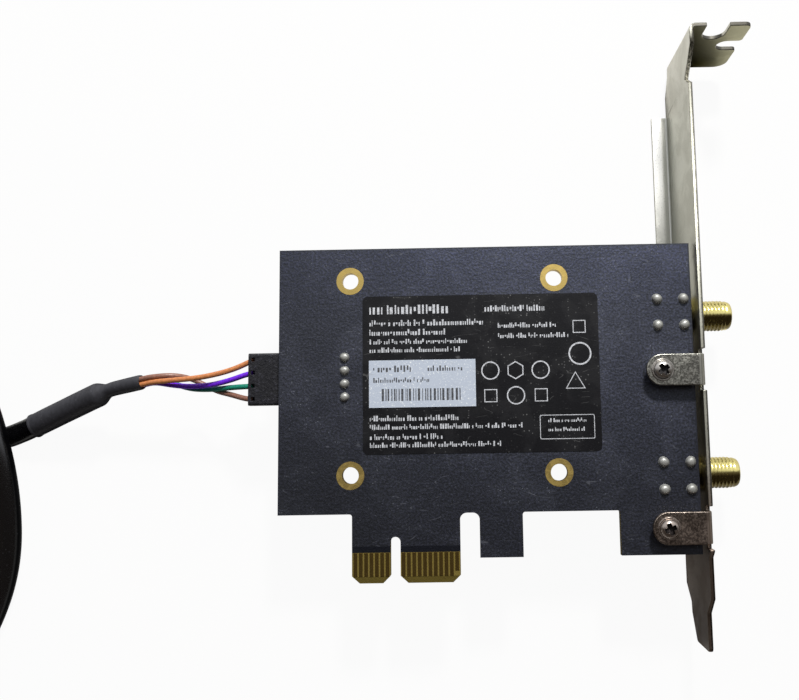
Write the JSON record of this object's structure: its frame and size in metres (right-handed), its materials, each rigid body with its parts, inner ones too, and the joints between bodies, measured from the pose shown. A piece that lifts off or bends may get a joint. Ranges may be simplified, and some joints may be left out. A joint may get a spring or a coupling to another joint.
{
  "type": "expansion-slot wireless card",
  "caption": "Wireless network card for a computer's short expansion slot, with a full-height bracket, threaded antenna jacks and a coiled header cable.",
  "frame": {"origin": "bottom centre of the card's box without its cable: the plane of the bracket's far edge, on which the card lies", "axes": "+X out through the bracket, +Y towards the bracket's top lip, +Z out of the solder face"},
  "size_m": [0.2063, 0.1344, 0.0209],
  "materials": {
    "solder_mask": "satin mask over laminate",
    "gold_plating": "thin bright plating",
    "bracket_sheet": "satin plated sheet steel",
    "screw_steel": "bright zinc",
    "jack_gold": "polished plating",
    "insulator_white": "waxy",
    "solder": "smooth",
    "black_plastic": "moulded, fine grain",
    "terminal_tin": "tin plated",
    "wire_orange": "smooth insulation",
    "wire_violet": "smooth insulation",
    "wire_green": "smooth insulation",
    "wire_brown": "smooth insulation",
    "sleeve_black": "shrunk tubing",
    "jacket_black": "soft gloss",
    "label_black": "satin film",
    "label_white": "paper film",
    "module_mask": "satin mask",
    "shield_tin": "drawn tin plate",
    "chip_black": "moulded",
    "ferrite_grey": "pressed powder",
    "ceramic_tan": "fired"
  },
  "bodies": {
    "root": {"circuit_board": "solder_mask", "edge_contacts": "gold_plating", "hole_rings": "gold_plating", "io_bracket": "bracket_sheet", "bracket_screws": "screw_steel", "bracket_nuts": "screw_steel", "module_screw": "screw_steel", "upper_jack_body": "jack_gold", "lower_jack_body": "jack_gold", "upper_jack_pin": "jack_gold", "lower_jack_pin": "jack_gold", "module_standoff": "jack_gold", "coax_receptacles": "jack_gold", "coax_plugs": "jack_gold", "upper_jack_insulator": "insulator_white", "lower_jack_insulator": "insulator_white", "solder_joints": "solder", "header_base": "black_plastic", "plug_housing": "black_plastic", "far_plug_housing": "black_plastic", "module_socket": "black_plastic", "header_pins": "terminal_tin", "plug_terminals": "terminal_tin", "far_plug_terminals": "terminal_tin", "socket_leads": "terminal_tin", "wire_orange": "wire_orange", "wire_violet": "wire_violet", "wire_green": "wire_green", "wire_brown": "wire_brown", "heat_shrink_sleeve": "sleeve_black", "far_sleeve": "sleeve_black", "cable_lead": "jacket_black", "cable_coil": "jacket_black", "cable_tail": "jacket_black", "upper_coax_lead": "jacket_black", "lower_coax_lead": "jacket_black", "product_label": "label_black", "serial_label": "label_white", "module_board": "module_mask", "module_shield": "shield_tin", "regulator_chip": "chip_black", "chip_resistors": "chip_black", "power_inductor": "ferrite_grey", "chip_capacitors": "ceramic_tan"}
  },
  "joints": []
}
